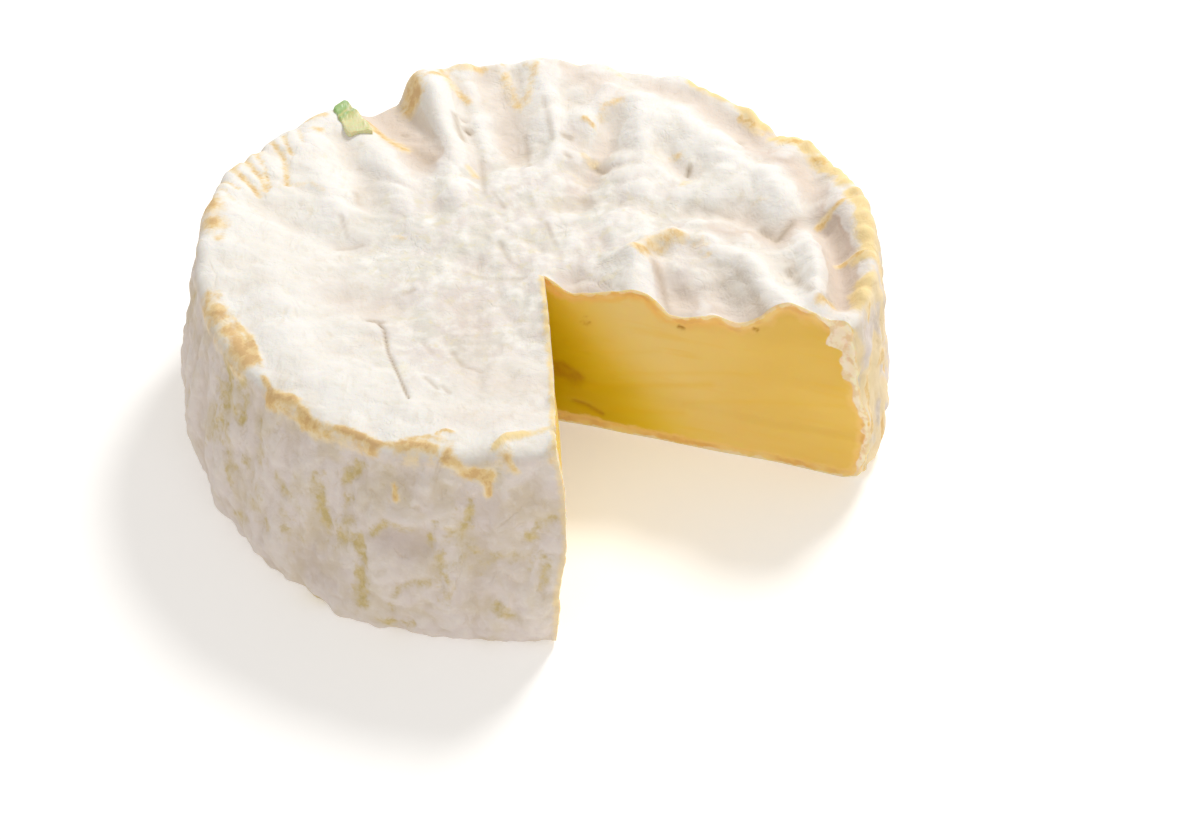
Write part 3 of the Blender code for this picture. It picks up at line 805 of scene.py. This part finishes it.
def cut_grid(x, y, z, column, columns, first, apex_z):
    """Points inside one cut face. Its grid runs from the apex out, and from the top down.

    The top row and the last column are the rind's own points. Returns the grid of point numbers,
    the new points, and what the paste's material needs to know of each.
    """
    azimuth, outward = RIGHT_CUT if column == 0 else LEFT_CUT
    turn = math.radians(azimuth)
    face = math.radians(azimuth + outward)
    along = from_apex(x, y, azimuth)
    top_along = np.concatenate(([0.0], along[:TOP_RINGS]))
    top_z = np.concatenate(([apex_z], z[:TOP_RINGS]))
    wall_along = along[TOP_RINGS - 1:]
    wall_z = z[TOP_RINGS - 1:]
    steps = len(wall_z)
    grid = np.zeros((TOP_RINGS + 1, steps), dtype=int)
    grid[1:, 0] = np.arange(TOP_RINGS) * columns + column
    grid[-1, :] = (np.arange(steps) + TOP_RINGS - 1) * columns + column
    inner_along = top_along[1:-1, None] * (wall_along[None, 1:] / wall_along[0])
    inner_z = top_z[1:-1, None] * (wall_z[None, 1:] / wall_z[0])
    grid[1:-1, 1:] = first + np.arange(inner_z.size).reshape(inner_z.shape)
    from_rind = rind_depth(inner_along, inner_z, top_along, top_z, wall_along, wall_z)
    found = face_marks(inner_along, inner_z, wall_along[None, 1:] - inner_along, from_rind, column == 0)
    lean = knife_bend(inner_along, inner_z)
    lean += 0.15 * bell(from_rind - 0.3, 0.5) - 0.12 * bell(from_rind - 1.4, 0.5)
    grain = 0.10 * noise_at(inner_along * 0.22, inner_z, 3.0 + column, 1.3)
    lean += grain * smooth_step(1.0, 2.5, from_rind)
    lean += found["chalk"] * 0.5 * (np.abs(noise_at(inner_along, inner_z, 8.0, 2.0)) - 0.2)
    lean -= 0.3 * found["cavity_and_shade"] + 0.06 * found["streak"]
    fresh_x = APEX[0] + inner_along * math.cos(turn) + lean * math.cos(face)
    fresh_y = APEX[1] + inner_along * math.sin(turn) + lean * math.sin(face)
    fresh = np.stack((fresh_x, fresh_y, inner_z), -1).reshape(-1, 3)
    return grid, fresh, found


def face_marks(along, z, from_wall, from_rind, is_right):
    """What the paste's material needs: depth under the rind, place, crust at the wall, small pits with
    their painted shade, streaks.
    """
    low_width, high_width = CHALK_WIDTHS
    width = low_width + (high_width - low_width) * smooth_step(18.0, 27.0, z)
    torn = width * (0.8 + 0.7 * noise_at(along, z, 5.0, 2.6))
    holes_and_shade, streaks = np.zeros(along.shape), np.zeros(along.shape)
    if is_right:
        holes_and_shade = marked(along, z, CAVITY_AND_SHADE_MARKS)
        streaks = marked(along, z, STREAK_MARKS)
    return {
        "depth": from_rind,
        "along": along,
        "chalk": 1 - smooth_step(-0.6, 0.6, from_wall - torn),
        "cavity_and_shade": holes_and_shade,
        "streak": streaks,
    }


def rind_depth(along, z, top_along, top_z, wall_along, wall_z):
    """Distance of each point of a cut face from the rind at the top, the wall or the base."""
    edge_along = np.concatenate((top_along, wall_along))
    edge_z = np.concatenate((top_z, wall_z))
    nearest = z.copy()
    for a, h in zip(edge_along, edge_z):
        nearest = np.minimum(nearest, np.hypot(along - a, z - h))
    return nearest


class Graph:
    """A new material and short calls for its nodes. Lengths in the textures are millimetres."""

    def __init__(self, name):
        self.material = bpy.data.materials.new(name)
        self.material.use_nodes = True
        self.nodes = self.material.node_tree.nodes
        self.links = self.material.node_tree.links
        self.shader = self.nodes["Principled BSDF"]
        self.place = self.nodes.new("ShaderNodeTexCoord").outputs["Object"]

    def set(self, socket, value):
        if isinstance(value, bpy.types.NodeSocket):
            self.links.new(value, socket)
        else:
            socket.default_value = value

    def shade(self, name, value):
        """Sets an input of the shader to a constant, or joins it to another node's output."""
        self.set(self.shader.inputs[name], value)

    def node(self, kind, values):
        """A new node with the inputs named in values set to constants or joined to other nodes."""
        node = self.nodes.new("ShaderNode" + kind)
        for name, value in values.items():
            self.set(node.inputs[name], value)
        return node

    def attribute(self, name):
        node = self.node("Attribute", {})
        node.attribute_name = name
        return node.outputs["Fac"]

    def stretch(self, scale=(1.0, 1.0, 1.0), turn=(0.0, 0.0, 0.0)):
        values = {"Scale": scale, "Rotation": turn, "Vector": self.place}
        return self.node("Mapping", values).outputs["Vector"]

    def noise(self, size, detail=3.0, place=None, rough=0.5, twist=0.0):
        """Noise with features about size millimetres across."""
        values = {"Scale": 1000.0 / size, "Detail": detail, "Roughness": rough, "Distortion": twist}
        values["Vector"] = self.place if place is None else place
        return self.node("TexNoise", values).outputs["Fac"]

    def math(self, operation, first, second=0.0, clamp=False):
        node = self.node("Math", {0: first, 1: second})
        node.operation = operation
        node.use_clamp = clamp
        return node.outputs[0]

    def times(self, first, second, clamp=False):
        return self.math("MULTIPLY", first, second, clamp)

    def step(self, value, low, high, to_low=0.0, to_high=1.0):
        """A smooth rise from to_low to to_high as value goes from low to high."""
        values = {"Value": value, "From Min": low, "From Max": high, "To Min": to_low, "To Max": to_high}
        node = self.node("MapRange", values)
        node.interpolation_type = "SMOOTHSTEP"
        return node.outputs["Result"]

    def mix(self, share, first, second):
        node = self.nodes.new("ShaderNodeMix")
        node.data_type = "RGBA"
        self.set(node.inputs[0], share)
        for socket, value in ((node.inputs[6], first), (node.inputs[7], second)):
            self.set(socket, value if isinstance(value, bpy.types.NodeSocket) else (*value, 1.0))
        return node.outputs[2]

    def bump(self, height, strength, distance_mm, normal=None):
        values = {"Strength": strength, "Distance": distance_mm * MM, "Height": height}
        if normal is not None:
            values["Normal"] = normal
        return self.node("Bump", values).outputs["Normal"]


def ragged(graph, mark, low=0.3, high=0.9, size=1.4, amount=1.3):
    """A mark with a torn edge: its cover is shaken by fine noise, more where it is thin."""
    shake = graph.times(graph.math("SUBTRACT", graph.noise(size, 5.0, rough=0.65), 0.5), amount)
    return graph.step(graph.math("ADD", mark, shake), low, high)


def creases(graph, size, width, place, twist=1.0):
    """Thin winding lines, broken here and there: where a noise passes its middle value."""
    off = graph.math("ABSOLUTE", graph.math("SUBTRACT", graph.noise(size, 3.0, place, twist=twist), 0.5))
    lines = graph.step(off, 0.0, width, 1.0, 0.0)
    return graph.times(lines, graph.step(graph.noise(size * 0.8, 2.0), 0.5, 0.66))


def bloom_colour(g, fibres, lines):
    """White of the top, with warm clouds, thin tan creases, pinkish grey stains and painted shade in its
    hollows, and a painted highlight on its ridges.
    """
    white = g.mix(g.step(g.noise(8.0, 4.0), 0.38, 0.66), BLOOM_WHITE, BLOOM_WARM)
    white = g.mix(g.step(fibres, 0.52, 0.75, 0.0, 0.35), white, (0.74, 0.68, 0.58))
    white = g.mix(g.step(g.noise(2.4, 4.0), 0.58, 0.72, 0.0, 0.3), white, (0.79, 0.72, 0.56))
    white = g.mix(g.times(lines, 0.16), white, (0.70, 0.56, 0.38))
    bare = g.times(g.attribute("worn"), g.step(g.noise(3.0, 6.0, rough=0.6), 0.34, 0.58))
    grey = g.mix(g.step(g.noise(5.0, 2.0), 0.42, 0.58), (0.705, 0.68, 0.61), (0.745, 0.68, 0.64))
    white = g.mix(g.times(bare, 0.9), white, grey)
    specks = g.times(g.attribute("worn"), g.step(g.noise(1.7, 3.0), 0.56, 0.68))
    white = g.mix(g.times(specks, 0.6), white, (0.80, 0.735, 0.52))
    # Pinkish grey: stains of thin bloom and painted shade in hollows
    white = g.mix(g.times(g.attribute("stain_and_shade"), 0.9), white, STAIN_AND_SHADE_PINK)
    # Painted shade in the hollows and a painted highlight on the ridges
    white = g.mix(g.step(g.attribute("sunk_shading"), 0.04, 0.5, 0.0, 0.36), white, BLOOM_HOLLOW_SHADE)
    return g.mix(g.step(g.attribute("sunk_shading"), -0.4, -0.04, 0.6, 0.0), white, BLOOM_RIDGE_HIGHLIGHT)


def wall_colour(g, lines):
    """Greyish beige of the wall, smoother and painted darker as shade where it is dented, with painted
    shade in its hollows and a painted highlight on its raised parts, and broad warm patches worn to dull
    yellow.
    """
    beige = g.mix(g.step(g.noise(6.0, 5.0, twist=0.4), 0.44, 0.64), WALL_LILAC, WALL_KHAKI)
    beige = g.mix(g.step(g.noise(1.4, 4.0), 0.5, 0.7, 0.0, 0.5), beige, (0.81, 0.74, 0.68))
    beige = g.mix(g.step(g.noise(1.8, 5.0, twist=0.5), 0.55, 0.72, 0.0, 0.3), beige, (0.62, 0.525, 0.42))
    beige = g.mix(g.times(lines, 0.3), beige, (0.58, 0.46, 0.30))
    # Painted shade in the wall's hollows and a painted highlight on its raised parts
    beige = g.mix(g.step(g.attribute("sunk_shading"), 0.03, 0.35, 0.0, 0.22), beige, (0.56, 0.45, 0.33))
    beige = g.mix(g.step(g.attribute("sunk_shading"), -0.3, -0.03, 0.3, 0.0), beige, (0.80, 0.74, 0.67))
    # Painted shade: the wall is darker in its dented places
    beige = g.mix(g.times(g.attribute("dent_and_shade"), 0.7), beige, (0.58, 0.485, 0.44))
    broken = g.times(g.attribute("olive"), g.step(g.noise(3.2, 3.0), 0.36, 0.56, 0.55, 1.1))
    halo = ragged(g, broken, 0.1, 0.8, 3.0, 1.2)
    beige = g.mix(g.times(halo, 0.5), beige, (0.665, 0.57, 0.42))
    olive = ragged(g, broken, 0.3, 1.1, 1.5, 2.3)
    worn = g.mix(g.step(g.noise(1.2, 3.0), 0.4, 0.6), (0.65, 0.515, 0.255), (0.56, 0.43, 0.16))
    return g.mix(g.times(olive, 0.85), beige, worn)


def rind_material():
    """White bloom over an ochre crust, pinkish in hollows from stains and painted shade, with painted
    highlights on ridges and dark creases that are partly painted shade, and a beige wall that is worn to
    yellow.
    """
    g = Graph("bloomy_rind")
    fibres = g.noise(1.0, 3.0, g.stretch((1.0, 0.35, 1.0), (0.0, 0.0, 0.4)), twist=0.2)
    top_lines = creases(g, 6.0, 0.07, g.stretch((1.0, 0.45, 1.0), (0.0, 0.0, 0.25)), 0.6)
    wall_lines = creases(g, 4.5, 0.06, g.stretch((1.0, 1.0, 0.6)))
    skin = g.mix(g.attribute("wall"), bloom_colour(g, fibres, top_lines), wall_colour(g, wall_lines))
    # Dark brown along the fine creases and specks: partly their own colour, partly painted shade
    dark_crease_shade = g.mix(g.step(g.attribute("crease_and_shade"), 0.7, 1.3), (0.50, 0.40, 0.29), (0.22, 0.16, 0.10))
    skin = g.mix(g.times(g.attribute("crease_and_shade"), 0.75, True), skin, dark_crease_shade)
    cream = ragged(g, g.attribute("cream"), 0.2, 0.75, 1.6, 0.9)
    covers = g.step(g.attribute("wall"), 0.0, 1.0, 0.9, 0.6)
    skin = g.mix(g.times(cream, covers), skin, CREAM_CRUST)
    ochre = ragged(g, g.attribute("ochre"), 0.15, 0.75, 1.2, 1.0)
    patches = g.step(g.noise(2.0, 5.0, rough=0.6), 0.34, 0.66, -0.4, 0.35)
    middle = g.math("ADD", g.attribute("ochre"), patches)
    crust = g.mix(g.step(middle, 0.3, 0.75), PALE_OCHRE, GOLDEN_OCHRE)
    crust = g.mix(g.step(middle, 0.75, 1.15), crust, BROWN_OCHRE)
    colour = g.mix(g.times(ochre, 0.85), skin, crust)
    g.shade("Base Color", colour)
    g.shade("Roughness", g.step(ochre, 0.0, 1.0, 0.85, 0.62))
    g.shade("Specular IOR Level", 0.25)
    g.shade("Subsurface Weight", 0.2)
    g.shade("Subsurface Radius", (1.0, 0.8, 0.55))
    g.shade("Subsurface Scale", 0.9 * MM)
    normal = g.bump(g.noise(2.8, 5.0, rough=0.58, twist=0.35), 0.7, 0.5)
    normal = g.bump(g.times(g.math("MAXIMUM", top_lines, wall_lines), -1.0), 0.3, 0.2, normal)
    normal = g.bump(fibres, 0.3, 0.12, normal)
    normal = g.bump(g.noise(0.4, 2.0), 0.2, 0.05, normal)
    g.shade("Normal", normal)
    return g.material


def paste_material():
    """Soft golden paste, painted deeper golden near the apex and the foot as the notch's shade, with a tan
    line under the rind that is partly painted shade.
    """
    g = Graph("soft_paste")
    wavy = g.math("ADD", g.attribute("depth"), g.step(g.noise(1.8, 3.0), 0.2, 0.8, -0.45, 0.45))
    streaks = g.noise(1.6, 3.0, g.stretch((0.1, 0.1, 1.0), (0.0, 0.28, -0.35)), twist=0.2)
    paste = g.mix(g.step(g.attribute("along"), 6.0, 42.0), PASTE_INNER, PASTE_OUTER)
    paste = g.mix(g.step(g.noise(14.0, 2.0), 0.3, 0.7, 0.0, 0.25), paste, (0.88, 0.65, 0.22))
    paste = g.mix(g.step(streaks, 0.55, 0.78, 0.0, 0.3), paste, (0.83, 0.53, 0.06))
    height = g.node("SeparateXYZ", {"Vector": g.place}).outputs["Z"]
    # Painted shade: the paste turns deeper golden towards the apex and the foot
    shade_reach = g.math("ADD", g.attribute("along"), g.times(height, 0.8 / MM))
    paste = g.mix(g.step(shade_reach, 16.0, 34.0, 1.0, 0.0), paste, PASTE_GOLDEN_SHADE)
    paste = g.mix(g.step(shade_reach, 9.0, 26.0, 1.0, 0.0), paste, PASTE_DEEP_SHADE)
    paste = g.mix(g.times(g.attribute("streak"), 0.35), paste, (0.80, 0.50, 0.01))
    # The tan line under the rind: partly the paste's own browning, partly painted shade under the rind's
    # lip
    under = g.mix(g.step(wavy, 1.4, 2.4), (0.87, 0.60, 0.19), paste)
    browned_and_shade = g.mix(g.step(g.noise(5.0, 2.0), 0.4, 0.6), (0.78, 0.49, 0.16), (0.88, 0.64, 0.25))
    line = g.mix(g.step(wavy, 0.9, 1.5), browned_and_shade, under)
    colour = g.mix(g.step(wavy, 0.15, 0.6), (0.87, 0.70, 0.46), line)
    lumps = g.mix(g.step(g.noise(1.5, 3.0), 0.42, 0.6), (0.93, 0.82, 0.63), (0.82, 0.64, 0.40))
    colour = g.mix(ragged(g, g.attribute("chalk"), 0.3, 0.7, 1.2, 0.6), colour, lumps)
    # Painted shade in and below the pits of the cut face
    holes_and_shade = g.times(ragged(g, g.attribute("cavity_and_shade"), 0.1, 0.9, 0.9, 0.5), 0.85)
    colour = g.mix(holes_and_shade, colour, (0.46, 0.20, 0.01))
    g.shade("Base Color", colour)
    g.shade("Roughness", 0.45)
    g.shade("Specular IOR Level", 0.1)
    g.shade("Subsurface Weight", 0.5)
    g.shade("Subsurface Radius", (1.0, 0.55, 0.12))
    g.shade("Subsurface Scale", 3.0 * MM)
    normal = g.bump(g.noise(2.6, 3.0), 0.3, 0.25)
    normal = g.bump(streaks, 0.3, 0.2, normal)
    g.shade("Normal", normal)
    return g.material


def scrap_material():
    """Green stalk that turns olive and then pale yellow along its length, with fibres along it whose pale
    stripes are partly painted highlight.
    """
    g = Graph("green_stalk")
    fibres = g.noise(0.55, 3.0, g.stretch((1.0, 0.22, 1.0), (0.0, 0.0, 0.38)), twist=0.4)
    patches = g.step(g.noise(1.6, 3.0), 0.3, 0.7, -0.16, 0.16)
    share = g.math("ADD", g.attribute("green"), patches)
    colour = g.mix(g.step(share, 0.05, 0.5), (0.77, 0.75, 0.42), (0.58, 0.58, 0.24))
    colour = g.mix(g.step(share, 0.5, 0.95), colour, (0.32, 0.50, 0.18))
    # Pale stripes along the fibres: partly their own colour, partly painted highlight
    colour = g.mix(g.step(fibres, 0.5, 0.72, 0.0, 0.6), colour, (0.80, 0.82, 0.60))
    colour = g.mix(g.step(g.attribute("green"), -0.12, 0.0, 1.0, 0.0), colour, (0.86, 0.84, 0.64))
    g.shade("Base Color", colour)
    g.shade("Roughness", 0.45)
    g.shade("Subsurface Weight", 0.2)
    g.shade("Subsurface Scale", 1.0 * MM)
    g.shade("Normal", g.bump(fibres, 0.6, 0.25))
    return g.material


def floor_material():
    g = Graph("pale_floor")
    colour = g.mix(g.noise(40.0, 2.0), (0.93, 0.93, 0.92), (0.94, 0.94, 0.93))
    g.shade("Base Color", colour)
    g.shade("Roughness", 0.9)
    g.shade("Emission Color", (1.0, 0.99, 0.975, 1.0))
    g.shade("Emission Strength", 0.25)
    return g.material


def make_cheese():
    mesh = cheese_mesh()
    for vertex in mesh.vertices:
        vertex.co.x += AXIS_SHIFT[0] * MM
        vertex.co.y += AXIS_SHIFT[1] * MM
    mesh.materials.append(rind_material())
    mesh.materials.append(paste_material())
    mesh.shade_smooth()
    mesh.set_sharp_from_angle(angle=math.radians(50))
    return add_piece("cheese", mesh)


def height_on(cheese, x, y):
    """Height of the top under a point in plan, or just inside the rim if it lies beyond."""
    inner = min(1.0, SCRAP_GROUND_RADIUS / math.hypot(x, y))
    hit, place, _, _ = cheese.ray_cast(Vector((x * inner, y * inner, 60.0)) * MM, Vector((0.0, 0.0, -1.0)))
    return place.z / MM if hit else 0.0


def boxy(value):
    """Brings a sine or a cosine nearer to 1 or -1, which turns a round section into a bevelled box."""
    return math.copysign(abs(value) ** 0.4, value)


def scrap_ring(cheese, share):
    """Points of the stalk's section at a share of its length, and how green each of them is."""
    along = (SCRAP_END[0] - SCRAP_START[0], SCRAP_END[1] - SCRAP_START[1])
    length = math.hypot(*along)
    across = (-along[1] / length, along[0] / length)
    x = SCRAP_START[0] + along[0] * share
    y = SCRAP_START[1] + along[1] * share
    ground = sum(height_on(cheese, x + across[0] * s, y + across[1] * s) for s in (-1, 0, 1)) / 3
    width = np.interp(share, (0.0, 1.0), SCRAP_WIDTHS)
    skew = np.interp(share, (0.0, 1.0), SCRAP_SKEWS)
    half = (1.0 - 0.14 * abs(2 * share - 1) ** 10 + 0.03 * math.sin(share * 17.0)) * width / 2
    points, green = [], []
    for side in range(SCRAP_SIDES):
        turn = math.tau * side / SCRAP_SIDES
        flat = boxy(math.cos(turn))
        up = boxy(math.sin(turn)) * SCRAP_THICKNESS
        ridge = 0.1 * math.sin(flat * 7.0 + share * 4.0) + 0.15 * math.sin(share * 18.0)
        place_x = x + (across[0] * half + along[0] / length * skew) * flat
        place_y = y + (across[1] * half + along[1] / length * skew) * flat
        points.append((place_x, place_y, ground + up + (ridge if up > 0 else 0.0)))
        green.append(np.interp(share + 0.08 * flat, *zip(*SCRAP_TONES)))
    return points, green


def make_scrap(cheese):
    """A flat chip of stalk, which follows the rind under it."""
    points, green = [], []
    for station in range(SCRAP_STATIONS):
        ring, tones = scrap_ring(cheese, station / (SCRAP_STATIONS - 1))
        points += ring
        green += tones
    grid = np.arange(len(points)).reshape(SCRAP_STATIONS, SCRAP_SIDES)
    around = np.concatenate((grid, grid[:, :1]), 1).T
    faces = [tuple(grid[0, ::-1].tolist()), tuple(grid[-1].tolist())] + quads_of(around)
    mesh = new_mesh("stalk_scrap", points, faces)
    give(mesh, "green", green)
    mesh.materials.append(scrap_material())
    mesh.shade_smooth()
    mesh.set_sharp_from_angle(angle=math.radians(45))
    add_piece("stalk_scrap", mesh)


def make_floor():
    bpy.ops.mesh.primitive_plane_add(size=6.0)
    floor = bpy.context.active_object
    floor.name = "floor"
    floor.data.materials.append(floor_material())


def add_aimed(name, data, place, target):
    """Adds a camera or a lamp that looks from its place at a target, both in metres."""
    obj = bpy.data.objects.new(name, data)
    obj.location = place
    obj.rotation_mode = "QUATERNION"
    obj.rotation_quaternion = (target - place).to_track_quat("-Z", "Y")
    bpy.context.scene.collection.objects.link(obj)
    return obj


def area_light(name, place, size, power, colour):
    """A round soft light that aims at the origin."""
    data = bpy.data.lights.new(name, "AREA")
    data.shape = "DISK"
    data.size = size
    data.energy = power
    data.color = colour
    add_aimed(name, data, Vector(place), Vector())


def make_light():
    world = bpy.data.worlds.new("soft_studio")
    world.use_nodes = True
    background = world.node_tree.nodes["Background"]
    background.inputs["Color"].default_value = SKY_COLOUR
    background.inputs["Strength"].default_value = SKY_STRENGTH
    bpy.context.scene.world = world
    bpy.context.scene.view_settings.view_transform = "Standard"
    area_light("key", *KEY_LIGHT)
    area_light("fill", *FILL_LIGHT)


def make_camera():
    data = bpy.data.cameras.new("camera")
    data.sensor_width = 36.0
    data.lens = FOCAL_LENGTH
    data.clip_start = 0.01
    camera = add_aimed("camera", data, Vector(CAMERA_PLACE) * MM, Vector(CAMERA_TARGET) * MM)
    bpy.context.scene.camera = camera


make_camera()
make_light()
make_floor()
cheese = make_cheese()
bpy.context.view_layer.update()
make_scrap(cheese)
bpy.context.view_layer.update()
